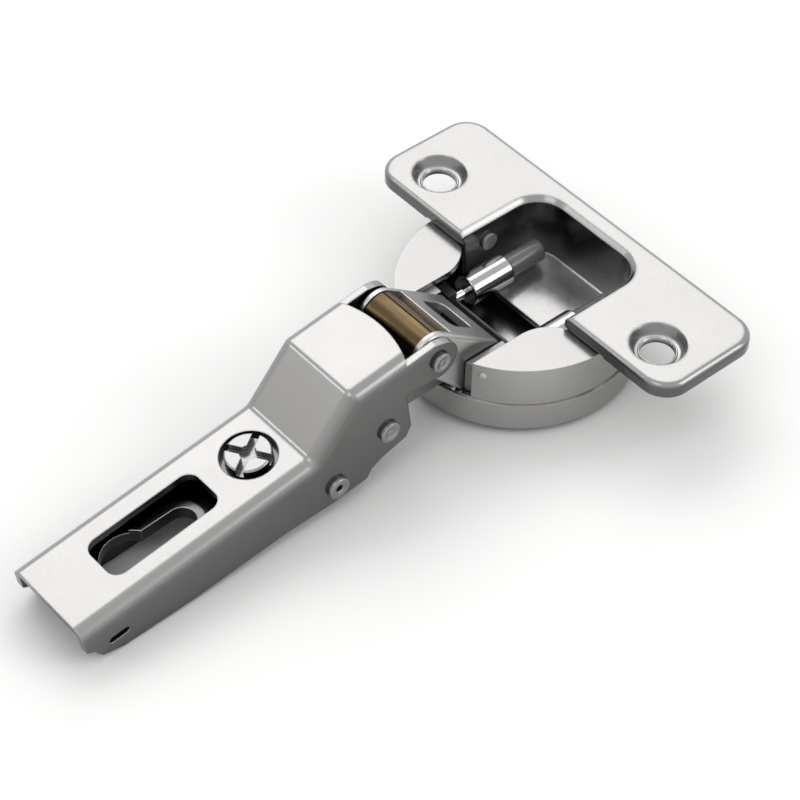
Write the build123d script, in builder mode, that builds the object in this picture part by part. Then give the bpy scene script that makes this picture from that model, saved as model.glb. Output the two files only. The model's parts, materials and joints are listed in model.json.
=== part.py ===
from build123d import *
import math
import os

# Soft-close concealed cabinet hinge, half overlay, standing open at its stop.
# Millimetres. Origin on the cup's axis at the door's inner face, +Z out of the cup's mouth,
# the arm runs along -X and the screw wings lie along Y.

# Cup drum
cup_diameter = 35.0
cup_depth = 11.3
cup_wall = 0.8
cup_ring_top_z = -6.6
cup_relief = 0.2
cheek_thickness = 1.0
cheek_edge_radius = 0.5
channel_half_width = 7.75
channel_flare_x = -6.7
channel_mouth_x = -1.3
flare_radius = 6.5
flare_angle = 55
notch_depth = 6.4
drum_seam_angle = 36

# Wing plate with its drawn pocket
plate_length = 59.7
plate_width = 18.5
plate_front_x = -1.2
plate_height = 2.2
plate_sheet = 1.3
plate_rim = 1.2
plate_corner_radius = 4.0
plate_edge_radius = 0.9
plate_relief = 0.25
plate_relief_half_width = 18.2
wing_hole_spacing = 44.7
wing_hole_x = 4.9
wing_hole_diameter = 4.8
wing_sink_diameter = 8.0
wing_sink_depth = 1.6
wing_sink_taper = 29.0
wing_boss_diameter = 10.0
pocket_half_width = 10.6
pocket_back_x = 13.9
pocket_corner_radius = 4.6
pocket_floor_z = -7.5
pocket_sheet = 0.9
pocket_taper = 3.0
pocket_wall_front_x = -0.7
pocket_floor_front_x = 2.0
pocket_rim = 0.7
pocket_rim_taper = 45.0

# Linkage, as (x, z) of each pivot with the hinge open
nose_pivot = (-21.2, 4.0)
rivet_pivot = (-30.0, -3.5)
outer_cup_pivot = (-13.0, -6.0)
inner_cup_pivot = (-10.8, -7.9)
running_gap = 0.05
free_eye_offset = (-0.4, 0.0)
free_eye_travel = 0.5

# Outer link, a pressed channel
outer_link_half_width = 6.1
link_sheet = 1.0
outer_nose_eye_radius = 3.1
outer_cup_eye_radius = 2.2
web_top = (-17.9, 4.1)
web_nose = (-9.9, -1.9)
web_edge_radius = 1.1
web_fold_radius = 0.6
web_window_half_width = 3.2
web_window_length = 5.0

# Inner link, a solid lever
inner_link_half_width = 3.5
inner_cup_eye_radius = 1.9
inner_free_eye_radius = 2.9
inner_knee = (-15.6, -4.9)
inner_knee_radius = 1.2

# Pins and rivets
outer_pin_radius = 1.3
outer_pin_head_radius = 1.8
outer_pin_head_height = 0.45
inner_pin_radius = 1.25
nose_pin_radius = 1.2
nose_head_radius = 1.4
rivet_radius = 1.2
rivet_head_radius = 1.55
head_height = 0.45
head_edge_radius = 0.25
eyelet_radius = 1.3
eyelet_bore_radius = 0.55
eyelet_flange_radius = 1.65
bush_radius = 2.9
bush_seam = 0.3
bush_seam_angle = 75

# Arm shell, a folded and cranked channel: lengths along the arm and heights from the nose pin
arm_tilt = 8.5
arm_half_width = 7.6
arm_sheet = 1.2
arm_fold_radius = 2.0
arm_rear = -60.0
rear_deck_height = -2.5
nose_deck_height = 4.5
low_crease = -22.0
high_crease = -14.1
crease_radius = 1.2
nose_deck_front = -3.7
nose_edge_radius = 17.5
ear_radius = 3.0
ear_low_angle = -115
flank_front = -6.1
window_rear = -51.7
window_front = -34.1
window_half_width = 3.5
window_corner_radius = 1.8
screw_station = -27.1
screw_hole_diameter = 8.0
side_slot_station = -55.0
side_slot_height = -7.2
side_slot_length = 3.2
side_slot_width = 1.1

# Mounting channel in the arm, hung on the eyelet: lengths and heights from the eyelet
eyelet_pivot = (-38.8, -8.3)
channel_tilt = 4.8
channel_gap = 0.2
channel_sheet = 1.5
channel_top = 2.15
channel_bottom = -2.7
channel_rear = -37.0
channel_web_front = -2.5
channel_nose = 1.5
channel_front = 7.0
channel_fold_radius = 1.0
channel_tab_bottom = -4.6
channel_tab_rear = 2.4
channel_tab_front = 5.6
keyhole_station = -28.3
keyhole_radius = 4.0
slot_half_width = 2.1
slot_front_station = -19.9
collar_width = 1.2
collar_height = 0.6
eyelet_hole_gap = 0.05
screw_clearance = 0.45

# Side adjustment screw
screw_head_radius = 3.25
screw_head_rise = 0.6
screw_head_edge = 0.3
screw_flange_radius = 4.5
screw_flange_height = 0.6
screw_shank_radius = 2.0
screw_flange_gap = 0.1
screw_length = 7.3
screw_point = 0.5
cross_width = 1.1
cross_depth = 1.2
cross_centre_radius = 1.15
cross_angle = 30

# Closing spring, a bent leaf under the nose of the arm
leaf_thickness = 0.7
leaf_half_width = 4.4
leaf_gap = 0.1
leaf_heel_length = 8.0
leaf_front = -7.0
leaf_turn = 1.3
leaf_tip = (-12.4, -1.4)

# Bearing block, dampers and slider in the cup
block_inner_half_width = 6.3
block_outer_half_width = 9.8
block_back_x = -8.7
block_base_back_x = -9.9
lug_inner_half_width = 3.6
lug_outer_half_width = 4.5
lug_foot_front_x = -12.4
pin_reach = 8.2
block_top_z = -1.05
block_base_height = 0.45
block_gap = 0.15
damper_wall_gap = 1.0
damper_z = -5.2
damper_radius = 2.3
damper_front_x = -3.1
damper_shoulder_x = 4.3
damper_rear_x = 11.0
damper_tail_radius = 1.7
damper_wall = 0.6
damper_end_wall = 0.8
damper_rod_radius = 0.8
piston_length = 1.8
piston_start_x = -1.9
piston_gap = 0.05
seal_width = 0.6
seal_depth = 0.35
plug_start_x = 3.6
plug_chamfer = 0.4
slider_front_x = -7.2
slider_rear_x = -5.6
slider_bar_front_x = -5.95
slider_bar_lean = 2.0
slider_bar_top_z = -4.6
slider_bottom_z = -7.2
slider_block_top_z = -3.2
slider_wall_gap = 0.8
slider_inner_half_width = 6.4
rod_socket_depth = 1.0

# Small rivets
drum_rivet_radius = 0.6
drum_rivet_angle = 148.3
drum_rivet_z = -1.9
drum_rivet_length = 3.0
damper_rivet_x = 3.7
damper_rivet_z = -1.6
damper_rivet_radius = 1.1
damper_rivet_head_radius = 1.3
damper_rivet_head = 0.3
damper_rivet_reach = 0.4

cup_radius = cup_diameter / 2
upper_radius = cup_radius - cup_relief
damper_y = pocket_half_width - damper_wall_gap - damper_radius
damper_rivet_y = pocket_half_width - damper_rivet_reach
slider_half_width = block_outer_half_width - slider_wall_gap
drum_inner_radius = cup_radius - cup_wall
drum_floor_z = cup_wall - cup_depth
plate_x = plate_front_x + plate_width / 2
link_inner_half_width = outer_link_half_width - link_sheet
flank_inner = arm_half_width - arm_sheet
channel_outer_half_width = flank_inner - channel_gap
channel_inner_half_width = channel_outer_half_width - channel_sheet


def tilted(origin, angle):
    # upright plane along the hinge: local x runs along the piece, local y up
    lean = math.radians(angle)
    direction = (math.cos(lean), 0, math.sin(lean))
    return Plane(origin=(origin[0], 0, origin[1]), x_dir=direction, z_dir=(0, -1, 0))


def deck(origin, angle, height):
    # plane that lies on a piece: local x runs along it, local y across
    lean = math.radians(angle)
    along = (math.cos(lean), 0, math.sin(lean))
    up = (-math.sin(lean), 0, math.cos(lean))
    place = (origin[0] + up[0] * height, 0, origin[1] + up[2] * height)
    return Plane(origin=place, x_dir=along, z_dir=up)


def tangent_bar(start, start_radius, end, end_radius):
    # outline of a strap over two circles, for the sketch that is open
    run = (end[0] - start[0], end[1] - start[1])
    length = math.hypot(*run)
    heading = math.atan2(run[1], run[0])
    spread = math.acos((start_radius - end_radius) / length)
    corners = []
    for centre, radius, side in ((start, start_radius, 1), (end, end_radius, 1),
                                 (end, end_radius, -1), (start, start_radius, -1)):
        angle = heading + side * spread
        corners.append((centre[0] + radius * math.cos(angle), centre[1] + radius * math.sin(angle)))
    Polygon(*corners, align=None)
    with Locations(start):
        Circle(start_radius)
    with Locations(end):
        Circle(end_radius)


def rivet_plane(angle):
    # plane across a drum rivet at its inner end, facing outwards
    lean = math.radians(angle)
    outward = (math.cos(lean), math.sin(lean), 0)
    reach = upper_radius - drum_rivet_length
    return Plane(origin=(outward[0] * reach, outward[1] * reach, drum_rivet_z), z_dir=outward)


drum_rivet_planes = [rivet_plane(drum_rivet_angle), rivet_plane(-drum_rivet_angle)]
arm_plane = tilted(nose_pivot, arm_tilt)
base_plane = tilted(eyelet_pivot, channel_tilt)
base_deck = deck(eyelet_pivot, channel_tilt, channel_top)
upright = Plane.XZ


def arm_local(point):
    place = arm_plane.to_local_coords(Vector(point[0], 0, point[1]))
    return (place.X, place.Y)


# Wing plate
pocket_length = pocket_back_x - pocket_wall_front_x
pocket_depth = plate_height - pocket_floor_z

with BuildPart() as wing_plate:
    with BuildSketch(Plane.XY) as plate_outline:
        with Locations((plate_x, 0)):
            RectangleRounded(plate_width, plate_length, plate_corner_radius)
    extrude(amount=plate_height)
    fillet(wing_plate.faces().sort_by(Axis.Z)[-1].edges(), plate_edge_radius)
    with BuildSketch(Plane.XY):
        with Locations((plate_x, 0)):
            RectangleRounded(plate_width - 2 * plate_rim, plate_length - 2 * plate_rim,
                             plate_corner_radius - plate_rim)
    extrude(amount=plate_height - plate_sheet, mode=Mode.SUBTRACT)
    with BuildSketch(Plane.XY):
        with Locations((wing_hole_x, wing_hole_spacing / 2), (wing_hole_x, -wing_hole_spacing / 2)):
            Circle(wing_boss_diameter / 2)
    extrude(amount=plate_height - plate_sheet)
    # the rim stands clear of the drum, so that each wing rests on the door by itself
    with BuildSketch(Plane.XY):
        with Locations((plate_x, 0)):
            Rectangle(2 * plate_width, 2 * plate_relief_half_width)
    extrude(amount=plate_relief, mode=Mode.SUBTRACT)
    # the pocket's outside, open towards the arm
    with BuildSketch(Plane.XY.offset(plate_height)):
        with Locations((pocket_back_x - pocket_length, 0)):
            RectangleRounded(2 * (pocket_length + pocket_sheet), 2 * (pocket_half_width + pocket_sheet),
                             pocket_corner_radius + pocket_sheet)
        with Locations((pocket_wall_front_x, 0)):
            Rectangle(pocket_length * 2, pocket_half_width * 3, align=(Align.MAX, Align.CENTER),
                      mode=Mode.SUBTRACT)
    extrude(amount=-(pocket_depth + pocket_sheet), taper=pocket_taper)
    with BuildSketch(Plane.XY.offset(plate_height)):
        with Locations((pocket_back_x - pocket_length, 0)):
            RectangleRounded(2 * pocket_length, 2 * pocket_half_width, pocket_corner_radius)
    extrude(amount=-pocket_depth, taper=pocket_taper, mode=Mode.SUBTRACT)
    # bevelled mouth of the pocket
    with BuildSketch(Plane.XY.offset(plate_height)):
        with Locations((pocket_back_x - pocket_length, 0)):
            RectangleRounded(2 * (pocket_length + pocket_rim), 2 * (pocket_half_width + pocket_rim),
                             pocket_corner_radius + pocket_rim)
    extrude(amount=-pocket_rim, taper=pocket_rim_taper, mode=Mode.SUBTRACT)
    with BuildSketch(Plane.XY.offset(pocket_floor_z)):
        with Locations((pocket_floor_front_x, 0)):
            Rectangle(pocket_length, 2 * pocket_half_width, align=(Align.MAX, Align.CENTER))
    extrude(amount=pocket_sheet, both=True, mode=Mode.SUBTRACT)
    with BuildSketch(upright):
        with Locations((damper_rivet_x, damper_rivet_z)):
            Circle(damper_rivet_radius)
    extrude(amount=plate_length / 4, both=True, mode=Mode.SUBTRACT)
    with BuildSketch(Plane.XY.offset(plate_height)):
        with Locations((wing_hole_x, wing_hole_spacing / 2), (wing_hole_x, -wing_hole_spacing / 2)):
            Circle(wing_sink_diameter / 2)
    extrude(amount=-wing_sink_depth, taper=wing_sink_taper, mode=Mode.SUBTRACT)
    with BuildSketch(Plane.XY):
        with Locations((wing_hole_x, wing_hole_spacing / 2), (wing_hole_x, -wing_hole_spacing / 2)):
            Circle(wing_hole_diameter / 2)
    extrude(amount=plate_height, mode=Mode.SUBTRACT)
wing_plate.part.label = "wing_plate"

# Cup drum: one drawn shell with the two closed cheeks in front of the wing plate
cheek_back_x = plate_front_x + plate_rim

with BuildPart() as cup_drum:
    with BuildSketch(Plane.XY.offset(-cup_depth)):
        with Locations(Location((0, 0, 0), (0, 0, drum_seam_angle))):
            Circle(cup_radius)
    extrude(amount=cup_depth + cup_ring_top_z)
    fillet(cup_drum.faces().sort_by(Axis.Z)[0].edges(), cheek_edge_radius)
    with BuildSketch(Plane.XY.offset(cup_ring_top_z)):
        Circle(upper_radius)
    extrude(amount=-cup_ring_top_z)
    with BuildSketch(Plane.XY.offset(drum_floor_z)):
        Circle(drum_inner_radius)
    extrude(amount=-drum_floor_z, mode=Mode.SUBTRACT)
    # the cheeks leave a slot for the links that flares into the pocket
    with BuildSketch(Plane.XY):
        Circle(upper_radius)
        with Locations((cheek_back_x, 0)):
            Rectangle(cup_diameter, cup_diameter, align=(Align.MAX, Align.CENTER), mode=Mode.INTERSECT)
        with BuildLine():
            slot_side = Line((-cup_diameter, channel_half_width), (channel_flare_x, channel_half_width))
            flare = JernArc(slot_side @ 1, slot_side % 1, flare_radius, flare_angle)
            mouth_side = Line(flare @ 1, (channel_mouth_x, pocket_half_width + pocket_sheet))
            Polyline(mouth_side @ 1, (cup_radius, pocket_half_width + pocket_sheet), (cup_radius, 0))
            Line(slot_side @ 0, (-cup_diameter, 0))
            mirror(about=Plane.XZ)
        make_face(mode=Mode.SUBTRACT)
    extrude(amount=-cheek_thickness)
    # the step in the wall that the links and the arm fold through
    with BuildSketch(Plane.XY):
        with Locations((-cup_radius, 0)):
            Rectangle(cup_radius, 2 * channel_half_width)
    extrude(amount=-notch_depth, mode=Mode.SUBTRACT)
    for plane in drum_rivet_planes:
        with BuildSketch(plane):
            Circle(drum_rivet_radius)
        extrude(amount=drum_rivet_length + cup_wall, mode=Mode.SUBTRACT)
cup_drum.part.label = "cup_drum"

# Bearing block inside the drum, which carries the pins of both links
with BuildPart() as bearing_block:
    with BuildSketch(Plane.XY.offset(drum_floor_z)):
        Circle(drum_inner_radius - block_gap)
        with Locations((block_back_x, 0)):
            Rectangle(cup_diameter, 2 * block_outer_half_width, align=(Align.MAX, Align.CENTER),
                      mode=Mode.INTERSECT)
    extrude(amount=block_top_z - drum_floor_z)
    with BuildSketch(Plane.XY.offset(drum_floor_z + block_base_height)):
        Rectangle(cup_diameter, 2 * block_inner_half_width)
    extrude(amount=cup_depth, mode=Mode.SUBTRACT)
    with BuildSketch(Plane.XY.offset(drum_floor_z)):
        with Locations((block_base_back_x, 0)):
            Rectangle(cup_diameter, 2 * block_inner_half_width, align=(Align.MIN, Align.CENTER))
    extrude(amount=cup_depth, mode=Mode.SUBTRACT)
    # two lugs for the inner link's pin
    for side in (1, -1):
        with BuildSketch(upright.offset(side * lug_inner_half_width)):
            with Locations(inner_cup_pivot):
                Circle(inner_cup_eye_radius)
            with Locations((lug_foot_front_x, drum_floor_z)):
                Rectangle(block_base_back_x - lug_foot_front_x, inner_cup_pivot[1] - drum_floor_z,
                          align=(Align.MIN, Align.MIN))
        extrude(amount=side * (lug_outer_half_width - lug_inner_half_width))
    for plane in drum_rivet_planes:
        with BuildSketch(plane):
            Circle(drum_rivet_radius)
        extrude(amount=drum_rivet_length, mode=Mode.SUBTRACT)
    for pivot, radius, reach in ((outer_cup_pivot, outer_pin_radius, pin_reach),
                                 (inner_cup_pivot, inner_pin_radius, lug_outer_half_width)):
        with BuildSketch(upright):
            with Locations(pivot):
                Circle(radius)
        extrude(amount=reach, both=True, mode=Mode.SUBTRACT)
bearing_block.part.label = "bearing_block"

# Pins of the outer link: a stub with a head on each side, so that the inner link passes between them
outer_link_pins = []
for side, name in ((1, "left"), (-1, "right")):
    with BuildPart() as stub_pin:
        with BuildSketch(upright.offset(-side * pin_reach)):
            with Locations(outer_cup_pivot):
                Circle(outer_pin_radius)
        extrude(amount=side * (pin_reach - link_inner_half_width + running_gap))
        with BuildSketch(upright.offset(-side * (link_inner_half_width - running_gap))):
            with Locations(outer_cup_pivot):
                Circle(outer_pin_head_radius)
        extrude(amount=side * outer_pin_head_height)
    stub_pin.part.label = "outer_link_pin_" + name
    outer_link_pins.append(stub_pin)

with BuildPart() as inner_link_pin:
    with BuildSketch(upright):
        with Locations(inner_cup_pivot):
            Circle(inner_pin_radius)
    extrude(amount=lug_outer_half_width, both=True)
inner_link_pin.part.label = "inner_link_pin"

# Outer link: two flanges with eyes and a web across their upper edge
web_run = (web_nose[0] - web_top[0], web_nose[1] - web_top[1])
web_length = math.hypot(*web_run)
web_lean = math.degrees(math.atan2(web_run[1], web_run[0]))
web_plane = tilted(web_top, web_lean)
web_deck = deck(web_top, web_lean, web_edge_radius)


def outer_link_outline():
    tangent_bar(nose_pivot, outer_nose_eye_radius, web_top, web_edge_radius)
    tangent_bar(web_top, web_edge_radius, web_nose, web_edge_radius)
    tangent_bar(web_nose, web_edge_radius, outer_cup_pivot, outer_cup_eye_radius)
    tangent_bar(outer_cup_pivot, outer_cup_eye_radius, nose_pivot, outer_nose_eye_radius)
    Polygon(nose_pivot, web_top, web_nose, outer_cup_pivot, align=None)


with BuildPart() as outer_link:
    with BuildSketch(upright):
        outer_link_outline()
    extrude(amount=outer_link_half_width, both=True)
    fold_edges = outer_link.edges().filter_by(
        lambda edge: abs(web_plane.to_local_coords(edge.center()).Y - web_edge_radius) < running_gap
        and abs(edge.center().Y) > link_inner_half_width)
    fillet(fold_edges, web_fold_radius)
    with BuildSketch(upright):
        outer_link_outline()
    extrude(amount=link_inner_half_width, both=True, mode=Mode.SUBTRACT)
    with BuildSketch(web_plane):
        with Locations((0, web_edge_radius)):
            Rectangle(web_length, link_sheet, align=(Align.MIN, Align.MAX))
    extrude(amount=link_inner_half_width, both=True)
    with BuildSketch(web_deck):
        with Locations((web_length / 2, 0)):
            RectangleRounded(web_window_length, 2 * web_window_half_width, web_edge_radius)
    extrude(amount=-2 * link_sheet, mode=Mode.SUBTRACT)
    with BuildSketch(upright):
        with Locations(nose_pivot):
            Circle(nose_pin_radius + running_gap)
        with Locations(outer_cup_pivot):
            Circle(outer_pin_radius + running_gap)
    extrude(amount=outer_link_half_width, both=True, mode=Mode.SUBTRACT)
outer_link.part.label = "outer_link"

# Inner link: a lever with a close eye in the cup and a wide one on the arm's rivet
free_eye = (rivet_pivot[0] + free_eye_offset[0], rivet_pivot[1] + free_eye_offset[1])

with BuildPart() as inner_link:
    with BuildSketch(upright):
        tangent_bar(inner_cup_pivot, inner_cup_eye_radius, inner_knee, inner_knee_radius)
        tangent_bar(inner_knee, inner_knee_radius, free_eye, inner_free_eye_radius)
    extrude(amount=inner_link_half_width, both=True)
    with BuildSketch(upright):
        with Locations(inner_cup_pivot):
            Circle(inner_pin_radius + running_gap)
        with Locations(free_eye):
            Circle(rivet_radius + free_eye_travel)
    extrude(amount=inner_link_half_width, both=True, mode=Mode.SUBTRACT)
inner_link.part.label = "inner_link"

# Arm shell: side outline, folded edges, hollow inside, window, screw hole, nose cut and ears
flank_points = [(flank_front, -1.7), (flank_front, -8.3), (-7.2, -9.8), (-11.4, -10.4), (-13.4, -11.1),
                (-14.4, -12.3), (-20.0, -12.3), (-28.0, -11.4), (-43.0, -10.9), (-54.8, -9.8),
                (-58.0, -8.7), (-59.0, -6.9), (arm_rear, -6.3)]
step_lean = math.atan2(nose_deck_height - rear_deck_height, high_crease - low_crease)
crease_shift = arm_sheet * math.tan(step_lean / 2)
nose_reach = math.hypot(nose_deck_front, nose_deck_height)
nose_heading = math.atan2(nose_deck_height, nose_deck_front)
ear_top_angle = nose_heading - math.acos(ear_radius / nose_reach)
ear_top = (ear_radius * math.cos(ear_top_angle), ear_radius * math.sin(ear_top_angle))
ear_low = (ear_radius * math.cos(math.radians(ear_low_angle)),
           ear_radius * math.sin(math.radians(ear_low_angle)))


def deck_height(station):
    # outer height of the arm's top at a station along it
    if station <= low_crease:
        return rear_deck_height
    if station >= high_crease:
        return nose_deck_height
    return rear_deck_height + (station - low_crease) * math.tan(step_lean)


def on_crease(edge):
    place = arm_plane.to_local_coords(edge.center())
    near_top = place.Y > rear_deck_height - running_gap
    return near_top and min(abs(place.X - low_crease), abs(place.X - high_crease)) < running_gap


def on_top_fold(edge):
    place = arm_plane.to_local_coords(edge.center())
    near_top = place.Y > deck_height(place.X) - crease_radius / 2
    return near_top and place.X < nose_deck_front and abs(edge.center().Y) > flank_inner


with BuildPart() as arm_shell:
    with BuildSketch(arm_plane):
        with BuildLine():
            Polyline((arm_rear, rear_deck_height), (low_crease, rear_deck_height),
                     (high_crease, nose_deck_height), (nose_deck_front, nose_deck_height), ear_top)
            ThreePointArc(ear_top, (ear_radius, 0), ear_low)
            Polyline(ear_low, *flank_points, (arm_rear, rear_deck_height))
        make_face()
    extrude(amount=arm_half_width, both=True)
    fillet(arm_shell.edges().filter_by(Axis.Y).filter_by(on_crease), crease_radius)
    fillet(arm_shell.edges().filter_by(on_top_fold), arm_fold_radius)
    with BuildSketch(arm_plane):
        Polygon((arm_rear * 1.1, rear_deck_height - arm_sheet),
                (low_crease + crease_shift, rear_deck_height - arm_sheet),
                (high_crease + crease_shift, nose_deck_height - arm_sheet),
                (ear_radius * 2, nose_deck_height - arm_sheet),
                (ear_radius * 2, arm_rear), (arm_rear * 1.1, arm_rear), align=None)
    extrude(amount=flank_inner, both=True, mode=Mode.SUBTRACT)
    with BuildSketch(deck(nose_pivot, arm_tilt, nose_deck_height)):
        with Locations((flank_front, 0)):
            Rectangle(2 * cup_radius, 4 * arm_half_width, align=(Align.MIN, Align.CENTER))
        with Locations((nose_deck_front - nose_edge_radius, 0)):
            Circle(nose_edge_radius, mode=Mode.SUBTRACT)
    extrude(amount=-arm_sheet, mode=Mode.SUBTRACT)
    with BuildSketch(deck(nose_pivot, arm_tilt, rear_deck_height)):
        with Locations(((window_rear + window_front) / 2, 0)):
            RectangleRounded(window_front - window_rear, 2 * window_half_width, window_corner_radius)
        with Locations((screw_station, 0)):
            Circle(screw_hole_diameter / 2)
    extrude(amount=-2 * arm_sheet, mode=Mode.SUBTRACT)
    with BuildSketch(arm_plane):
        Circle(nose_pin_radius)
        with Locations(arm_local(rivet_pivot)):
            Circle(rivet_radius)
        with Locations(arm_local(eyelet_pivot)):
            Circle(eyelet_radius)
        with Locations((side_slot_station, side_slot_height)):
            SlotOverall(side_slot_length, side_slot_width)
    extrude(amount=arm_half_width, both=True, mode=Mode.SUBTRACT)
arm_shell.part.label = "arm_shell"


def riveted_pin(pivot, radius, head_radius, bore_radius=0):
    # a pin across the arm with a low head upset on each end
    with BuildPart() as pin:
        with BuildSketch(upright):
            with Locations(pivot):
                Circle(radius)
        extrude(amount=arm_half_width, both=True)
        for side in (1, -1):
            with BuildSketch(upright.offset(side * arm_half_width)):
                with Locations(pivot):
                    Circle(head_radius)
            extrude(amount=side * head_height)
        fillet(pin.faces().sort_by(Axis.Y)[0].edges(), head_edge_radius)
        fillet(pin.faces().sort_by(Axis.Y)[-1].edges(), head_edge_radius)
        if bore_radius:
            with BuildSketch(upright):
                with Locations(pivot):
                    Circle(bore_radius)
            extrude(amount=2 * arm_half_width, both=True, mode=Mode.SUBTRACT)
    return pin


nose_pin = riveted_pin(nose_pivot, nose_pin_radius, nose_head_radius)
nose_pin.part.label = "nose_pin"

link_rivet = riveted_pin(rivet_pivot, rivet_radius, rivet_head_radius)
link_rivet.part.label = "link_rivet"

channel_eyelet = riveted_pin(eyelet_pivot, eyelet_radius, eyelet_flange_radius, eyelet_bore_radius)
channel_eyelet.part.label = "channel_eyelet"

# Bush on the nose pin: a strip of bronze rolled up, with the seam left open
with BuildPart() as nose_bush:
    with BuildSketch(upright):
        with Locations(nose_pivot):
            Circle(bush_radius)
            Circle(nose_pin_radius + running_gap, mode=Mode.SUBTRACT)
    extrude(amount=link_inner_half_width - running_gap * 2, both=True)
    with BuildSketch(tilted(nose_pivot, bush_seam_angle)):
        Rectangle(2 * bush_radius, bush_seam, align=(Align.MIN, Align.CENTER))
    extrude(amount=outer_link_half_width, both=True, mode=Mode.SUBTRACT)
nose_bush.part.label = "nose_bush"

# Closing spring: a leaf that hugs the inside of the arm's nose and curls back over the inner link
leaf_offset = leaf_gap + leaf_thickness / 2
leaf_top = nose_deck_height - arm_sheet - leaf_offset
leaf_bend = high_crease + crease_shift + leaf_offset * math.tan(step_lean / 2)
leaf_heel = (leaf_bend - leaf_heel_length * math.cos(step_lean),
             leaf_top - leaf_heel_length * math.sin(step_lean))

with BuildPart() as closing_spring:
    with BuildSketch(arm_plane):
        with BuildLine() as leaf_path:
            Line(leaf_heel, (leaf_bend, leaf_top))
            Line((leaf_bend, leaf_top), (leaf_front, leaf_top))
            ThreePointArc((leaf_front, leaf_top), (leaf_front + leaf_turn, leaf_top - leaf_turn),
                          (leaf_front, leaf_top - 2 * leaf_turn))
            Line((leaf_front, leaf_top - 2 * leaf_turn), leaf_tip)
        trace(line_width=leaf_thickness)
    extrude(amount=leaf_half_width, both=True)
closing_spring.part.label = "closing_spring"

# Mounting channel: a slide-on channel with a keyhole and a raised collar round the keyhole's slot
with BuildPart() as mounting_channel:
    with BuildSketch(base_plane):
        Polygon((channel_rear, channel_bottom), (channel_rear, channel_top),
                (channel_nose, channel_top), (channel_front, 0.5), (channel_front, -1.4),
                (channel_tab_front, channel_tab_bottom), (channel_tab_rear, channel_tab_bottom),
                (channel_tab_rear - 1.2, channel_bottom), align=None)
    extrude(amount=channel_outer_half_width, both=True)
    channel_deck = mounting_channel.faces().sort_by(Axis((0, 0, 0), base_deck.z_dir))[-1]
    fillet(channel_deck.edges().filter_by(lambda edge: abs(edge.center().Y) > channel_inner_half_width),
           channel_fold_radius)
    with BuildSketch(base_plane):
        with Locations((2 * channel_rear, channel_top - channel_sheet)):
            Rectangle(-4 * channel_rear, cup_depth, align=(Align.MIN, Align.MAX))
        with Locations((channel_web_front, cup_depth)):
            Rectangle(cup_diameter, 2 * cup_depth, align=(Align.MIN, Align.MAX))
    extrude(amount=channel_inner_half_width, both=True, mode=Mode.SUBTRACT)
    with BuildSketch(base_deck):
        with Locations(((keyhole_station + slot_front_station) / 2, 0)):
            SlotCenterToCenter(slot_front_station - keyhole_station, 2 * (slot_half_width + collar_width))
    extrude(amount=collar_height)
    with BuildSketch(base_deck):
        with Locations(((keyhole_station + slot_front_station) / 2, 0)):
            SlotCenterToCenter(slot_front_station - keyhole_station, 2 * slot_half_width)
        with Locations((keyhole_station, 0)):
            Circle(keyhole_radius)
    extrude(amount=2 * channel_sheet, both=True, mode=Mode.SUBTRACT)
    with BuildSketch(deck(nose_pivot, arm_tilt, rear_deck_height)):
        with Locations((screw_station, 0)):
            Circle(screw_shank_radius + screw_clearance)
    extrude(amount=-cup_depth, mode=Mode.SUBTRACT)
    with BuildSketch(base_plane):
        Circle(eyelet_radius + eyelet_hole_gap)
    extrude(amount=channel_outer_half_width, both=True, mode=Mode.SUBTRACT)
mounting_channel.part.label = "mounting_channel"

# Side adjustment screw: head in the arm's hole, flange under the sheet, shank through the channel
screw_deck = deck(nose_pivot, arm_tilt, rear_deck_height + screw_head_rise)
screw_top_to_flange = arm_sheet + screw_flange_gap + screw_head_rise
cross_length = 2 * screw_head_radius

with BuildPart() as side_screw:
    for radius, start, end in ((screw_head_radius, 0, screw_top_to_flange),
                               (screw_flange_radius, screw_top_to_flange,
                                screw_top_to_flange + screw_flange_height),
                               (screw_shank_radius, 0, screw_length)):
        with BuildSketch(screw_deck.offset(-start)):
            with Locations((screw_station, 0)):
                Circle(radius)
        extrude(amount=start - end)
    screw_axis = Axis((0, 0, 0), screw_deck.z_dir)
    chamfer(side_screw.faces().sort_by(screw_axis)[0].edges(), screw_point)
    fillet(side_screw.faces().sort_by(screw_axis)[-1].edges(), screw_head_edge)
    with BuildSketch(screw_deck):
        with Locations((screw_station, 0)):
            Rectangle(cross_length, cross_width, rotation=cross_angle)
            Rectangle(cross_width, cross_length, rotation=cross_angle)
            Circle(cross_centre_radius)
    extrude(amount=-cross_depth, mode=Mode.SUBTRACT)
side_screw.part.label = "side_screw"


def lengthwise(x, side):
    # plane across a damper, facing the back of the cup
    return Plane(origin=(x, side * damper_y, damper_z), x_dir=(0, 1, 0), z_dir=(1, 0, 0))


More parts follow.
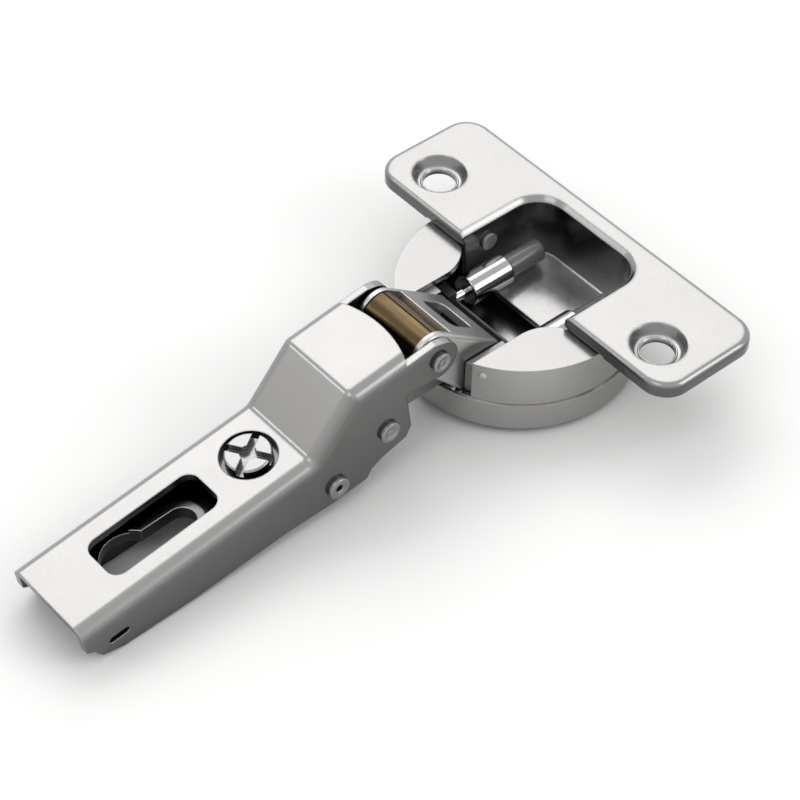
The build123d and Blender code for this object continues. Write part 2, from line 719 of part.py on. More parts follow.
# Dampers: a cylinder and a plug in the pocket, a rod with its piston and seal on the slider
damper_parts = []
for side, name in ((1, "left"), (-1, "right")):
    with BuildPart() as damper_cylinder:
        with BuildSketch(lengthwise(damper_front_x, side)):
            Circle(damper_radius)
        extrude(amount=damper_shoulder_x - damper_front_x)
        fillet(damper_cylinder.edges(), damper_wall / 2)
        with BuildSketch(lengthwise(damper_front_x + damper_end_wall, side)):
            Circle(damper_radius - damper_wall)
        extrude(amount=damper_radius * 10, mode=Mode.SUBTRACT)
        with BuildSketch(lengthwise(damper_front_x, side)):
            Circle(damper_rod_radius + piston_gap)
        extrude(amount=damper_end_wall, mode=Mode.SUBTRACT)
    damper_cylinder.part.label = "damper_cylinder_" + name

    with BuildPart() as damper_plug:
        with BuildSketch(lengthwise(plug_start_x, side)):
            Circle(damper_radius - damper_wall)
        extrude(amount=damper_rear_x - plug_start_x)
        chamfer(damper_plug.faces().sort_by(Axis.X)[-1].edges(), plug_chamfer)
    damper_plug.part.label = "damper_plug_" + name

    seal_start_x = piston_start_x + (piston_length - seal_width) / 2
    piston_radius = damper_radius - damper_wall - piston_gap
    with BuildPart() as damper_rod:
        with BuildSketch(lengthwise(slider_rear_x - rod_socket_depth, side)):
            Circle(damper_rod_radius)
        extrude(amount=piston_start_x - slider_rear_x + rod_socket_depth)
        with BuildSketch(lengthwise(piston_start_x, side)):
            Circle(piston_radius)
        extrude(amount=piston_length)
        with BuildSketch(lengthwise(seal_start_x, side)):
            Circle(piston_radius)
            Circle(piston_radius - seal_depth, mode=Mode.SUBTRACT)
        extrude(amount=seal_width, mode=Mode.SUBTRACT)
    damper_rod.part.label = "damper_rod_" + name

    with BuildPart() as piston_seal:
        with BuildSketch(lengthwise(seal_start_x, side)):
            Circle(piston_radius + piston_gap / 2)
            Circle(piston_radius - seal_depth, mode=Mode.SUBTRACT)
        extrude(amount=seal_width)
    piston_seal.part.label = "piston_seal_" + name

    with BuildPart() as damper_rivet:
        with BuildSketch(upright.offset(-side * damper_rivet_y)):
            with Locations((damper_rivet_x, damper_rivet_z)):
                Circle(damper_rivet_radius)
        extrude(amount=-side * (pocket_half_width + pocket_sheet - damper_rivet_y))
        with BuildSketch(upright.offset(-side * damper_rivet_y)):
            with Locations((damper_rivet_x, damper_rivet_z)):
                Circle(damper_rivet_head_radius)
        extrude(amount=side * damper_rivet_head)
    damper_rivet.part.label = "damper_rivet_" + name
    damper_parts += [damper_cylinder, damper_plug, damper_rod, piston_seal, damper_rivet]

# Damper slider: a wedge bar that the outer link pushes, with a block on each end for its rods
with BuildPart() as damper_slider:
    with BuildSketch(upright):
        Polygon((slider_bar_front_x, slider_bar_top_z), (slider_rear_x, slider_bar_top_z),
                (slider_rear_x, slider_bottom_z), (slider_bar_front_x - slider_bar_lean, slider_bottom_z),
                align=None)
    extrude(amount=slider_inner_half_width, both=True)
    for side in (1, -1):
        with BuildSketch(upright.offset(-side * slider_inner_half_width)):
            with Locations((slider_rear_x, slider_bottom_z)):
                Rectangle(slider_rear_x - slider_front_x, slider_block_top_z - slider_bottom_z,
                          align=(Align.MAX, Align.MIN))
        extrude(amount=-side * (slider_half_width - slider_inner_half_width))
        with BuildSketch(lengthwise(slider_rear_x, side)):
            Circle(damper_rod_radius)
        extrude(amount=-rod_socket_depth, mode=Mode.SUBTRACT)
damper_slider.part.label = "damper_slider"

# Rivets that hold the bearing block in the drum, finished flush with its wall
drum_rivets = []
for plane, name in zip(drum_rivet_planes, ("left", "right")):
    with BuildPart() as drum_rivet:
        with BuildSketch(plane):
            Circle(drum_rivet_radius)
        extrude(amount=drum_rivet_length)
    drum_rivet.part.label = "drum_rivet_" + name
    drum_rivets.append(drum_rivet)

os.makedirs("parts", exist_ok=True)
pieces = [wing_plate, cup_drum, bearing_block, *outer_link_pins, inner_link_pin, *drum_rivets,
          *damper_parts, damper_slider, outer_link, inner_link, arm_shell, nose_pin, link_rivet,
          channel_eyelet, closing_spring, nose_bush, mounting_channel, side_screw]
for piece in pieces:
    export_step(piece.part, "parts/" + piece.part.label + ".step")
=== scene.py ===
import json
import math

import bmesh
import bpy
from mathutils import Matrix, Vector


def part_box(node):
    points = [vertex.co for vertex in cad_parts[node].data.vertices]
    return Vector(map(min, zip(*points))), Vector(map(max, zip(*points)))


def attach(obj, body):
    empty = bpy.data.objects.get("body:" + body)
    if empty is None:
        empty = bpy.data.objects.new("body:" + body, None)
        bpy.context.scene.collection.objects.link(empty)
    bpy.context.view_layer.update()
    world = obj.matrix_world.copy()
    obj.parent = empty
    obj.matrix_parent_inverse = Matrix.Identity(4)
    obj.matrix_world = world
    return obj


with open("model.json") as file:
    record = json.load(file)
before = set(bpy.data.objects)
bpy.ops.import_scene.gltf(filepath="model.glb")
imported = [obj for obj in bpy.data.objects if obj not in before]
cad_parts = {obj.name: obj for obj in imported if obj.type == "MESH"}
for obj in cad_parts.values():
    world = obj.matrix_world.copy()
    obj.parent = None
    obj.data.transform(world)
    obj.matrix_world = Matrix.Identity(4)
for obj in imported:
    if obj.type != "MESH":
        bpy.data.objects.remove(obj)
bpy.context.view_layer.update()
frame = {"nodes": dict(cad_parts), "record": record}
mm = 0.001
nodes = frame["nodes"]
print("frame loaded:", len(nodes), "nodes")

# camera and studio

studio = {
    "cameraPlace": (-186.384, -185.047, 247.080),  # mm, found from the photograph
    "cameraTurn": (44.018, -1.174, -40.510),       # degrees
    "lens": 116.94,
    "floorColor": "#f6f6f5",
    "floorRear": (-75.9, -14.1),     # x and z where the mounting channel stands
    "floorFront": (17.0, -11.3),     # x and z where the drum stands
    "floorGap": 0.02,                # mm between the floor and the object
    "floorSize": 6000,
    "mottleSize": 40.0,              # mm, size of the paint's faint patches
    "mottleShade": 0.985,            # share of the floor's tone that they keep
    "fadeStart": 150,                # mm from the cup where the floor begins to fade into the white
    "fadeEnd": 700,
    "fadeGlow": 0.6,
    "ambient": 0.55,
    "floorGlow": 0.2,                # lifts the open floor to white for the camera and in mirrors
    "shadowReach": 25,               # mm of floor about the object that the lift leaves in shadow
    "shadowCore": 0.3,               # share of open sky under which the floor gets no lift
    "lampTarget": (-28, 0, 0),       # mm, the middle of the object
}

camera = bpy.data.objects.new("camera", bpy.data.cameras.new("camera"))
camera.data.lens = studio["lens"]
camera.data.sensor_width = 36
camera.data.clip_start = 0.01
camera.location = Vector(studio["cameraPlace"]) * mm
camera.rotation_euler = [math.radians(turn) for turn in studio["cameraTurn"]]
bpy.context.scene.collection.objects.link(camera)
bpy.context.scene.camera = camera
bpy.context.scene.view_settings.view_transform = "Standard"


def toLinear(hexColor):
    channels = [int(hexColor[i:i + 2], 16) / 255 for i in (1, 3, 5)]
    return tuple(c / 12.92 if c <= 0.04045 else ((c + 0.055) / 1.055) ** 2.4 for c in channels) + (1.0,)


def addNode(tree, kind, inputs=None, **settings):
    node = tree.nodes.new("ShaderNode" + kind)
    for name, value in settings.items():
        setattr(node, name, value)
    for key, value in (inputs or {}).items():
        if isinstance(value, bpy.types.NodeSocket):
            tree.links.new(value, node.inputs[key])
        else:
            node.inputs[key].default_value = value
    return node


def newMaterial(name):
    material = bpy.data.materials.new(name)
    material.use_nodes = True
    material.node_tree.nodes.clear()
    return material, material.node_tree


def seenRays(tree):
    # 1 for what the camera sees, straight or in metal and glass
    path = addNode(tree, "LightPath")
    straight = addNode(tree, "Math", {0: path.outputs["Is Camera Ray"], 1: path.outputs["Is Glossy Ray"]},
                       operation="MAXIMUM")
    return addNode(tree, "Math", {0: straight.outputs[0], 1: path.outputs["Is Transmission Ray"]},
                   operation="MAXIMUM").outputs[0]


def setupWorld():
    world = bpy.data.worlds.new("paleStudio")
    world.use_nodes = True
    tree = world.node_tree
    tree.nodes.clear()
    soft = addNode(tree, "Background", {"Color": (1, 1, 1, 1), "Strength": studio["ambient"]})
    white = addNode(tree, "Background", {"Color": (1, 1, 1, 1), "Strength": 1.0})
    mix = addNode(tree, "MixShader", {0: seenRays(tree), 1: soft.outputs[0], 2: white.outputs[0]})
    addNode(tree, "OutputWorld", {"Surface": mix.outputs[0]})
    bpy.context.scene.world = world


def addLamp(name, place, size, watts):
    target = studio["lampTarget"]
    lamp = bpy.data.lights.new(name, "AREA")
    lamp.shape = "RECTANGLE"
    lamp.size, lamp.size_y = size[0] * mm, size[1] * mm
    lamp.energy = watts
    item = bpy.data.objects.new(name, lamp)
    item.location = Vector(place) * mm
    item.rotation_euler = (Vector(target) - Vector(place)).to_track_quat("-Z", "Y").to_euler()
    bpy.context.scene.collection.objects.link(item)


def addFloor():
    material, tree = newMaterial("palePaintedBoard")
    coords = addNode(tree, "TexCoord")
    mottle = addNode(tree, "TexNoise", {"Vector": coords.outputs["Object"],
                                        "Scale": 1000 / studio["mottleSize"], "Detail": 2.0})
    pale = toLinear(studio["floorColor"])
    dusky = tuple(c * studio["mottleShade"] for c in pale[:3]) + (1,)
    tint = addNode(tree, "MixRGB", {0: mottle.outputs[0], 1: pale, 2: dusky})
    paint = addNode(tree, "BsdfPrincipled", {"Base Color": tint.outputs[0], "Roughness": 0.9,
                                             "Specular IOR Level": 0.1})
    exposed = addNode(tree, "AmbientOcclusion", {"Distance": studio["shadowReach"] * mm}, samples=6)
    away = addNode(tree, "VectorMath", {0: coords.outputs["Object"]}, operation="LENGTH")
    fade = addNode(tree, "MapRange", {"Value": away.outputs["Value"], "From Min": studio["fadeStart"] * mm,
                                      "From Max": studio["fadeEnd"] * mm, "To Min": studio["floorGlow"],
                                      "To Max": studio["fadeGlow"]})
    unshaded = addNode(tree, "MapRange", {"Value": exposed.outputs["AO"], "From Min": studio["shadowCore"],
                                          "From Max": 1.0, "To Min": 0.0, "To Max": fade.outputs[0]})
    glow = addNode(tree, "Math", {0: seenRays(tree), 1: unshaded.outputs[0]}, operation="MULTIPLY")
    lift = addNode(tree, "Emission", {"Color": (1, 1, 1, 1), "Strength": glow.outputs[0]})
    both = addNode(tree, "AddShader", {0: paint.outputs[0], 1: lift.outputs[0]})
    addNode(tree, "OutputMaterial", {"Surface": both.outputs[0]})
    rear, front = studio["floorRear"], studio["floorFront"]
    slope = math.atan2(front[1] - rear[1], front[0] - rear[0])
    mesh = bpy.data.meshes.new("floor")
    bm = bmesh.new()
    bmesh.ops.create_grid(bm, x_segments=1, y_segments=1, size=studio["floorSize"] / 2 * mm)
    bmesh.ops.rotate(bm, verts=bm.verts, matrix=Matrix.Rotation(-slope, 3, "Y"))
    bmesh.ops.translate(bm, verts=bm.verts, vec=(rear[0] * mm, 0, (rear[1] - studio["floorGap"]) * mm))
    bm.to_mesh(mesh)
    bm.free()
    floor = bpy.data.objects.new("floor", mesh)
    mesh.materials.append(material)
    bpy.context.scene.collection.objects.link(floor)


lamps = {
    # place and size in mm, then watts
    "backPanel": ((239, 525, 686), (860, 560), 2.9),     # mirrored in the tops of the plate and the arm
    "frontPanel": ((410, -630, 470), (420, 420), 1.4),   # mirrored in the pocket's near lip and the dampers
    "rimPanel": ((-640, 480, 410), (170, 170), 0.27),    # mirrored in the pocket's back lip
    "fillPanel": ((-560, -120, 760), (400, 400), 0.6),   # reaches the walls that face the camera
}

setupWorld()
addFloor()
for name, (place, size, watts) in lamps.items():
    addLamp(name, place, size, watts)
print("studio ready")

# materials
noiseSpan = (0.3, 0.7)       # what a noise texture mostly gives
recessSpan = (0.15, 0.75)    # share of open sky in a deep recess and on an open face
levelSpan = (0.3, 0.7)       # how level a face is, from a side to a top
edgeSpan = (0.97, 0.8)       # cosine between a face and its rounded edge, from flat to fully tinted by wear and painted highlight
bumpShare = 0.1              # height of a bump as a share of its width


def surfaceEdges(tree, radius):
    # rounds every sharp edge for the light and returns that normal with a mask of the edges
    bevel = addNode(tree, "Bevel", {"Radius": radius * mm}, samples=6)
    flat = addNode(tree, "NewGeometry")
    facing = addNode(tree, "VectorMath", {0: bevel.outputs[0], 1: flat.outputs["Normal"]},
                     operation="DOT_PRODUCT")
    mask = addNode(tree, "MapRange", {"Value": facing.outputs["Value"], "From Min": edgeSpan[0],
                                      "From Max": edgeSpan[1], "To Min": 0.0, "To Max": 1.0})
    return bevel.outputs[0], mask.outputs[0]


def platedSteel(look):
    # cold-rolled steel under nickel: a neutral grey mirror with rolled grain, paler along its edges as wear
    # and as a painted highlight. The polishing wheel doesn't reach its recesses, which are more matt, and
    # their colour is darkened there as painted shade, and lifted as painted light on the wing plate. Its
    # sides are painted darker than its tops as shade, and paler as light on the cup. The real grain is a few
    # hundredths of a millimetre and wouldn't show, so it is drawn about ten times as coarse. The bare steels
    # and the cast zinc are built the same way, with their own tone, grain and gloss.
    material, tree = newMaterial(look["name"])
    coords = addNode(tree, "TexCoord")
    normal, edges = surfaceEdges(tree, look["edgeRadius"])
    dark, light = toLinear(look["dark"]), toLinear(look["light"])
    clouds = addNode(tree, "TexNoise", {"Vector": coords.outputs["Object"], "Scale": 1000 / look["cloudSize"],
                                        "Detail": 4.0, "Roughness": 0.6})
    grain = addNode(tree, "TexNoise", {"Vector": coords.outputs["Object"], "Scale": 1000 / look["grainSize"],
                                       "Detail": 3.0, "Roughness": 0.7})
    tint = addNode(tree, "MixRGB", {0: clouds.outputs[0], 1: dark, 2: light})
    # the edges are painted paler, as wear and as a painted highlight
    edgeWearAndHighlight = addNode(tree, "MixRGB", {0: edges, 1: tint.outputs[0], 2: toLinear(look["edge"])})
    exposed = addNode(tree, "AmbientOcclusion", {"Distance": look["recessSize"] * mm}, samples=4)
    # painted shade in the recesses, turned to painted light where recessShade is above 1
    paintedRecessShadeAndLight = addNode(tree, "MapRange", {"Value": exposed.outputs["AO"], "From Min": recessSpan[0],
                                        "From Max": recessSpan[1], "To Min": look["recessShade"],
                                        "To Max": 1.0})
    # painted shade on the sides, turned to painted light where sideShade is above 1
    facing = addNode(tree, "SeparateXYZ", {0: coords.outputs["Normal"]})
    level = addNode(tree, "Math", {0: facing.outputs["Z"]}, operation="ABSOLUTE")
    paintedSideShadeAndLight = addNode(tree, "MapRange", {"Value": level.outputs[0], "From Min": levelSpan[0],
                                      "From Max": levelSpan[1], "To Min": look["sideShade"], "To Max": 1.0})
    shade = addNode(tree, "Math", {0: paintedRecessShadeAndLight.outputs[0], 1: paintedSideShadeAndLight.outputs[0]}, operation="MULTIPLY")
    shaded = addNode(tree, "VectorMath", {0: edgeWearAndHighlight.outputs[0], "Scale": shade.outputs[0]}, operation="SCALE")
    gloss = addNode(tree, "MapRange", {"Value": grain.outputs[0], "From Min": noiseSpan[0],
                                       "From Max": noiseSpan[1], "To Min": look["roughness"][0],
                                       "To Max": look["roughness"][1]})
    bumps = addNode(tree, "Bump", {"Height": grain.outputs[0], "Strength": look["grainDepth"],
                                   "Distance": look["grainSize"] * mm * bumpShare, "Normal": normal})
    matt = addNode(tree, "MapRange", {"Value": exposed.outputs["AO"], "From Min": recessSpan[0],
                                      "From Max": recessSpan[1], "To Min": look["recessRough"],
                                      "To Max": 0.0})
    rough = addNode(tree, "Math", {0: gloss.outputs[0], 1: matt.outputs[0]}, operation="ADD")
    metal = addNode(tree, "BsdfPrincipled", {"Base Color": shaded.outputs[0], "Metallic": 1.0,
                                             "Roughness": rough.outputs[0], "Normal": bumps.outputs[0]})
    addNode(tree, "OutputMaterial", {"Surface": metal.outputs[0]})
    return material


def moulded(look):
    # injection-moulded plastic: even colour, slight orange peel
    material, tree = newMaterial(look["name"])
    coords = addNode(tree, "TexCoord")
    normal, edges = surfaceEdges(tree, look["edgeRadius"])
    peelDepth = 0.15
    dark, light = toLinear(look["dark"]), toLinear(look["light"])
    peel = addNode(tree, "TexNoise", {"Vector": coords.outputs["Object"], "Scale": 1000 / look["peelSize"],
                                      "Detail": 2.0})
    tint = addNode(tree, "MixRGB", {0: peel.outputs[0], 1: dark, 2: light})
    worn = addNode(tree, "MixRGB", {0: edges, 1: tint.outputs[0], 2: toLinear(look["edge"])})
    gloss = addNode(tree, "MapRange", {"Value": peel.outputs[0], "From Min": noiseSpan[0],
                                       "From Max": noiseSpan[1], "To Min": look["roughness"][0],
                                       "To Max": look["roughness"][1]})
    bumps = addNode(tree, "Bump", {"Height": peel.outputs[0], "Strength": peelDepth,
                                   "Distance": look["peelSize"] * mm * bumpShare, "Normal": normal})
    plastic = addNode(tree, "BsdfPrincipled", {"Base Color": worn.outputs[0], "Roughness": gloss.outputs[0],
                                               "Normal": bumps.outputs[0], "IOR": 1.5})
    addNode(tree, "OutputMaterial", {"Surface": plastic.outputs[0]})
    return material


def rolledBronze(look):
    # bronze strip rolled to a bush: dull, with drawn lines along it that set its gloss and bumps, dark
    # streaks along them as painted reflections, edges paler as wear and a painted highlight, and brown
    # patches of oxide. The real lines are finer than a pixel, so they are drawn coarser.
    material, tree = newMaterial(look["name"])
    coords = addNode(tree, "TexCoord")
    normal, edges = surfaceEdges(tree, look["edgeRadius"])
    lineDepth = 0.25
    lineStretch = (1.0, 0.04, 1.0)    # the lines run along the bush
    dark, light = toLinear(look["dark"]), toLinear(look["light"])
    stretch = addNode(tree, "Mapping", {"Vector": coords.outputs["Object"], "Scale": lineStretch})
    lines = addNode(tree, "TexNoise", {"Vector": stretch.outputs[0], "Scale": 1000 / look["lineSize"],
                                       "Detail": 4.0, "Roughness": 0.7})
    clouds = addNode(tree, "TexNoise", {"Vector": coords.outputs["Object"], "Scale": 1000 / look["cloudSize"],
                                        "Detail": 3.0})
    tint = addNode(tree, "MixRGB", {0: clouds.outputs[0], 1: dark, 2: light})
    # dark streaks along the lines: painted reflections
    paintedReflectionStreaks = addNode(tree, "MixRGB", {0: lines.outputs[0], 1: tint.outputs[0], 2: toLinear(look["streak"])})
    # edges painted paler, as wear and as a painted highlight
    edgeWearAndHighlight = addNode(tree, "MixRGB", {0: edges, 1: paintedReflectionStreaks.outputs[0], 2: light})
    gloss = addNode(tree, "MapRange", {"Value": lines.outputs[0], "From Min": noiseSpan[0],
                                       "From Max": noiseSpan[1], "To Min": look["roughness"][0],
                                       "To Max": look["roughness"][1]})
    bumps = addNode(tree, "Bump", {"Height": lines.outputs[0], "Strength": lineDepth,
                                   "Distance": look["lineSize"] * mm * bumpShare, "Normal": normal})
    metal = addNode(tree, "BsdfPrincipled", {"Base Color": edgeWearAndHighlight.outputs[0], "Metallic": 1.0,
                                             "Roughness": gloss.outputs[0], "Normal": bumps.outputs[0]})
    addNode(tree, "OutputMaterial", {"Surface": metal.outputs[0]})
    return material


# the wing plate: bright and even on top, its upright rim greyed by painted shade and its pocket paler by
# painted light
polishedNickel = platedSteel({"name": "polishedNickelPlate", "dark": "#929190", "light": "#999897",
                              "edge": "#bbbab9", "cloudSize": 9.0, "grainSize": 0.35, "grainDepth": 0.03,
                              "roughness": (0.16, 0.24), "edgeRadius": 0.6, "recessSize": 7.0,
                              "recessShade": 2.7, "recessRough": 0.3, "sideShade": 0.4})
# the cup: deep-drawn, its wall painted brighter than its top as light
drawnNickel = platedSteel({"name": "drawnNickelPlate", "dark": "#929190", "light": "#999897",
                           "edge": "#bbbab9", "cloudSize": 7.0, "grainSize": 0.35, "grainDepth": 0.03,
                           "roughness": (0.2, 0.28), "edgeRadius": 0.12, "recessSize": 2.0,
                           "recessShade": 0.6, "recessRough": 0.0, "sideShade": 1.3})
# the arm: softer gloss, its flanks painted half as bright as its top as shade
satinNickel = platedSteel({"name": "satinNickelPlate", "dark": "#969594", "light": "#a09f9e",
                           "edge": "#bbbab9", "cloudSize": 6.0, "grainSize": 0.3, "grainDepth": 0.02,
                           "roughness": (0.22, 0.27), "edgeRadius": 0.3, "recessSize": 5.0,
                           "recessShade": 0.4, "recessRough": 0.1, "sideShade": 0.5})
# the channel inside the arm: dark grey that paints the shade inside the arm, with a bright line along its cut
# edges as wear and as a painted highlight
channelSteel = platedSteel({"name": "pressedChannelSteel", "dark": "#6a6968", "light": "#787776",
                            "edge": "#f4f3f2", "cloudSize": 4.0, "grainSize": 0.3, "grainDepth": 0.1,
                            "roughness": (0.16, 0.26), "edgeRadius": 0.22, "recessSize": 6.0,
                            "recessShade": 0.25, "recessRough": 0.0, "sideShade": 0.5})
# the outer link: pale and matt, as it comes from the press
linkSteel = platedSteel({"name": "pressedLinkSteel", "dark": "#b9b8b7", "light": "#c6c5c4",
                         "edge": "#e2e1e0", "cloudSize": 4.0, "grainSize": 0.3, "grainDepth": 0.03,
                         "roughness": (0.34, 0.38), "edgeRadius": 0.2, "recessSize": 1.5,
                         "recessShade": 0.6, "recessRough": 0.0, "sideShade": 1.0})
# zinc from the die: a grey, slightly pebbled skin
castZinc = platedSteel({"name": "dieCastZinc", "dark": "#7b7a79", "light": "#8b8a89",
                        "edge": "#b7b6b5", "cloudSize": 3.0, "grainSize": 0.2, "grainDepth": 0.3,
                        "roughness": (0.3, 0.45), "edgeRadius": 0.15, "recessSize": 3.0,
                        "recessShade": 0.5, "recessRough": 0.0, "sideShade": 1.0})
# pins and rivets: uneven gloss where the tool has spread the metal
rivetSteel = platedSteel({"name": "upsetRivetSteel", "dark": "#8a8988", "light": "#9b9a99",
                          "edge": "#d6d5d4", "cloudSize": 1.2, "grainSize": 0.18, "grainDepth": 0.25,
                          "roughness": (0.2, 0.34), "edgeRadius": 0.1, "recessSize": 0.6,
                          "recessShade": 0.35, "recessRough": 0.0, "sideShade": 1.0})
# the screw: a bright head, darkened in its recesses by painted shade
screwSteel = platedSteel({"name": "nickelScrewSteel", "dark": "#929190", "light": "#999897",
                          "edge": "#b5b4b3", "cloudSize": 3.0, "grainSize": 0.2, "grainDepth": 0.05,
                          "roughness": (0.16, 0.24), "edgeRadius": 0.15, "recessSize": 1.6,
                          "recessShade": 0.2, "recessRough": 0.0, "sideShade": 1.0})
# the closing spring: tempered dark, with a dull sheen
springSteel = platedSteel({"name": "temperedSpringSteel", "dark": "#4e4d4d", "light": "#615f5e",
                           "edge": "#8d8b8a", "cloudSize": 5.0, "grainSize": 0.3, "grainDepth": 0.15,
                           "roughness": (0.25, 0.38), "edgeRadius": 0.08, "recessSize": 2.0,
                           "recessShade": 0.6, "recessRough": 0.0, "sideShade": 1.0})
# damper cylinders and hole collars: drawn smooth, nearly a mirror
drawnTube = platedSteel({"name": "drawnTubeNickel", "dark": "#a5a4a3", "light": "#b3b2b1",
                         "edge": "#e2e1e0", "cloudSize": 4.0, "grainSize": 0.3, "grainDepth": 0.05,
                         "roughness": (0.1, 0.18), "edgeRadius": 0.12, "recessSize": 1.5,
                         "recessShade": 0.6, "recessRough": 0.0, "sideShade": 1.0})
# damper rods: ground, pale and mirror bright
groundRod = platedSteel({"name": "groundRodSteel", "dark": "#c0bfbe", "light": "#cfcecd",
                         "edge": "#dedddc", "cloudSize": 2.0, "grainSize": 0.1, "grainDepth": 0.05,
                         "roughness": (0.08, 0.14), "edgeRadius": 0.05, "recessSize": 1.0,
                         "recessShade": 0.7, "recessRough": 0.0, "sideShade": 1.0})
# the nose bush: brown bronze with painted dark reflections along it
bushBronze = rolledBronze({"name": "rolledBronzeStrip", "dark": "#53442f", "light": "#857455",
                           "streak": "#3e3222", "cloudSize": 3.5, "lineSize": 0.9,
                           "roughness": (0.2, 0.34), "edgeRadius": 0.1})
# the damper slider in nearly black plastic with a low sheen, glossier grey plugs and matt black seals
darkPlastic = moulded({"name": "mouldedDarkPom", "dark": "#2b2a2a", "light": "#343333", "edge": "#4a4948",
                       "peelSize": 0.5, "roughness": (0.35, 0.5), "edgeRadius": 0.12})
greyPlastic = moulded({"name": "mouldedGreyPom", "dark": "#6c6b6a", "light": "#7a7978", "edge": "#9a9998",
                       "peelSize": 0.6, "roughness": (0.12, 0.22), "edgeRadius": 0.12})
sealRubber = moulded({"name": "mouldedNitrile", "dark": "#161616", "light": "#1d1d1d", "edge": "#262626",
                      "peelSize": 0.4, "roughness": (0.6, 0.75), "edgeRadius": 0.05})
# the drum's and the dampers' rivets: pale and matt from the hammer
peenedSteel = platedSteel({"name": "peenedRivetSteel", "dark": "#b3b2b1", "light": "#c4c3c2",
                           "edge": "#d6d5d4", "cloudSize": 1.0, "grainSize": 0.2, "grainDepth": 0.1,
                           "roughness": (0.42, 0.5), "edgeRadius": 0.08, "recessSize": 0.5,
                           "recessShade": 0.5, "recessRough": 0.0, "sideShade": 1.0})

finishes = {
    "wing_plate": polishedNickel,
    "cup_drum": drawnNickel,
    "arm_shell": satinNickel,
    "mounting_channel": channelSteel,
    "outer_link": linkSteel,
    "inner_link": castZinc,
    "bearing_block": castZinc,
    "nose_bush": bushBronze,
    "closing_spring": springSteel,
    "side_screw": screwSteel,
    "damper_slider": darkPlastic,
    "damper_cylinder": drawnTube,
    "damper_plug": greyPlastic,
    "damper_rod": groundRod,
    "damper_rivet": peenedSteel,
    "drum_rivet": peenedSteel,
    "piston_seal": sealRubber,
}

for nodeName, item in nodes.items():
    family = nodeName.removesuffix("_left").removesuffix("_right")
    item.data.materials.clear()
    item.data.materials.append(finishes.get(family, rivetSteel))
print("materials ready:", len(bpy.data.materials))

# turned and riveted details
turnSteps = 48         # faces round each turned piece
sharpAngle = 50        # degrees above which an edge stays sharp
weldReach = 0.001      # mm within which points become one


def turnProfile(profile, place, axis):
    # turns a line of (radius, height) points about an axis through a place, height along the axis
    bm = bmesh.new()
    verts = [bm.verts.new((radius * mm, 0, height * mm)) for radius, height in profile]
    edges = [bm.edges.new(pair) for pair in zip(verts, verts[1:])]
    bmesh.ops.spin(bm, geom=verts + edges, cent=(0, 0, 0), axis=(0, 0, 1), angle=math.tau,
                   steps=turnSteps, use_merge=True)
    bmesh.ops.remove_doubles(bm, verts=bm.verts, dist=weldReach * mm)
    bmesh.ops.recalc_face_normals(bm, faces=bm.faces)
    # spin numbers its faces differently each run, so they are put in the order of their corners
    bm.verts.index_update()
    bm.faces.sort(key=lambda face: face.verts[0].index * len(bm.verts) + face.verts[2].index)
    turn = Vector((0, 0, 1)).rotation_difference(Vector(axis)).to_matrix()
    bmesh.ops.rotate(bm, verts=bm.verts, cent=(0, 0, 0), matrix=turn)
    bmesh.ops.translate(bm, verts=bm.verts, vec=place)
    return bm


def finishPiece(name, bm, material, body):
    mesh = bpy.data.meshes.new(name)
    bm.to_mesh(mesh)
    bm.free()
    for face in mesh.polygons:
        face.use_smooth = True
    mesh.set_sharp_from_angle(angle=math.radians(sharpAngle))
    mesh.materials.append(material)
    piece = bpy.data.objects.new(name, mesh)
    bpy.context.scene.collection.objects.link(piece)
    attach(piece, body)


def pinEnd(nodeName, facing):
    # middle of a pin's end on the near side, facing -1, or on the far side, facing 1
    low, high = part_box(nodeName)
    return (low[0] + high[0]) / 2, (low[1], high[1])[facing > 0], (low[2] + high[2]) / 2


# crowns that the riveting tool rolls up on the ends of the arm's pins, in mm
rivetHead = {
    "pins": {"nose_pin": 1.5, "link_rivet": 1.6},    # node and the radius of its head
    "crown": 0.2,           # height of the ring that the tool rolls up
    "coin": 0.06,           # height of the flat that it stamps in the middle
    "sunk": 0.05,           # depth of the head's foot inside the pin
}

# flared end of the hollow rivet, in mm
eyeletRim = {"bore": 0.56, "radius": 1.68, "rise": 0.28, "sunk": 0.05}

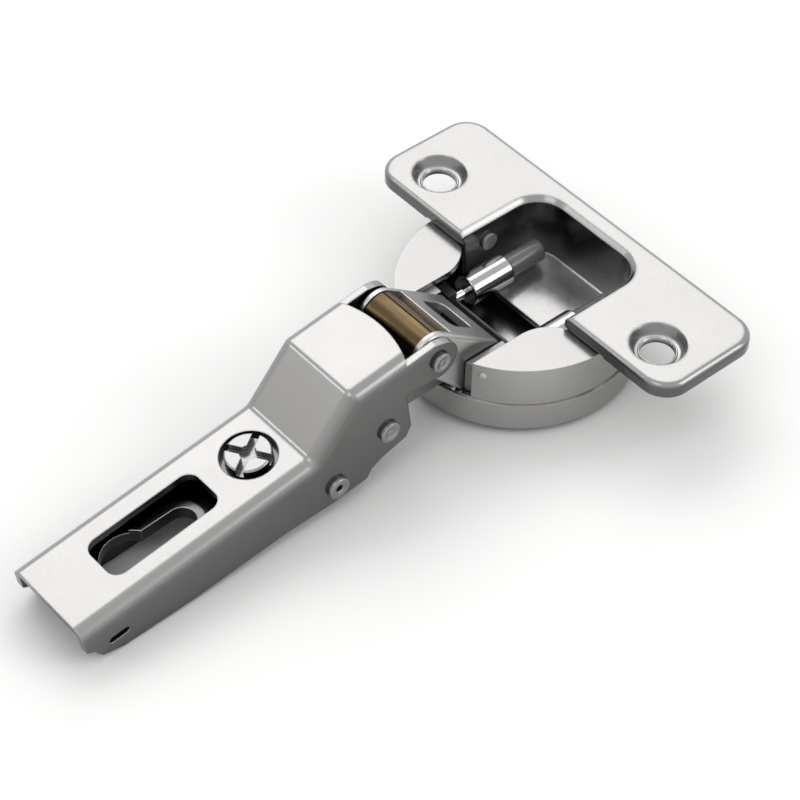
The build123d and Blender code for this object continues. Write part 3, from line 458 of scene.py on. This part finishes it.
for facing, side in ((-1, "near"), (1, "far")):
    outward = (0, facing, 0)
    for nodeName, radius in rivetHead["pins"].items():
        crown, coin = rivetHead["crown"], rivetHead["coin"]
        profile = [(0, -rivetHead["sunk"]), (radius, -rivetHead["sunk"]), (radius, crown * 0.4),
                   (radius * 0.93, crown * 0.8), (radius * 0.82, crown), (radius * 0.68, crown),
                   (radius * 0.56, crown * 0.75), (radius * 0.5, coin), (radius * 0.3, coin),
                   (radius * 0.22, coin * 1.6), (0, coin * 2)]
        head = turnProfile(profile, pinEnd(nodeName, facing), outward)
        finishPiece(f"{nodeName}_head_{side}", head, rivetSteel, "arm")
    bore, radius, rise = eyeletRim["bore"], eyeletRim["radius"], eyeletRim["rise"]
    middle = (bore + radius) / 2
    profile = [(bore, -eyeletRim["sunk"]), (radius, -eyeletRim["sunk"]), (radius, rise * 0.3),
               (radius * 0.95, rise * 0.7), ((middle + radius) / 2, rise * 0.95), (middle, rise),
               ((middle + bore) / 2, rise * 0.8), (bore, rise * 0.3), (bore, -eyeletRim["sunk"])]
    rim = turnProfile(profile, pinEnd("channel_eyelet", facing), outward)
    finishPiece(f"channel_eyelet_rim_{side}", rim, rivetSteel, "arm")

# rolled collar on the floor of each sunk screw hole, in mm, outside the hole so that it stays as wide
holeCollar = {
    "sinkFloor": 0.6,       # mm above the door
    "gap": 0.02,            # from the hole's wall
    "width": 0.4,
    "rise": 0.3,
    "sunk": 0.05,
}
screwMount = next(mount for mount in frame["record"]["mounts"] if mount["name"] == "wing_screws")
holeX, spacing = screwMount["pos_m"][0], screwMount["dims"]["spacing_y_mm"] * mm
bore = screwMount["dims"]["hole_r_mm"] + holeCollar["gap"]
width, rise = holeCollar["width"], holeCollar["rise"]
for facing, side in ((1, "left"), (-1, "right")):
    profile = [(bore, -holeCollar["sunk"]), (bore, rise * 0.4), (bore + width * 0.2, rise * 0.8),
               (bore + width * 0.5, rise), (bore + width * 0.8, rise * 0.8), (bore + width, rise * 0.4),
               (bore + width, -holeCollar["sunk"]), (bore, -holeCollar["sunk"])]
    place = (holeX, facing * spacing / 2, holeCollar["sinkFloor"] * mm)
    finishPiece(f"wing_hole_collar_{side}", turnProfile(profile, place, (0, 0, 1)), drawnTube, "cup")

# beads on the ends of the drum's rivets, in mm, low enough to stay inside the drilled hole
drumBead = {"radius": 0.62, "height": 0.16, "sunk": 0.1}
for side in ("left", "right"):
    rivet = nodes[f"drum_rivet_{side}"]
    low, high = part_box(rivet.name)
    outward = Vector(((low[0] + high[0]) / 2, (low[1] + high[1]) / 2, 0)).normalized()
    reach = max(vert.co.dot(outward) for vert in rivet.data.vertices)
    radius, height = drumBead["radius"], drumBead["height"]
    profile = [(0, -drumBead["sunk"]), (radius, -drumBead["sunk"]), (radius, height * 0.2),
               (radius * 0.85, height * 0.6), (radius * 0.5, height * 0.9), (0, height)]
    place = outward * reach + Vector((0, 0, (low[2] + high[2]) / 2))
    finishPiece(f"drum_rivet_head_{side}", turnProfile(profile, place, outward), peenedSteel, "cup")
print("riveted heads and collars ready")
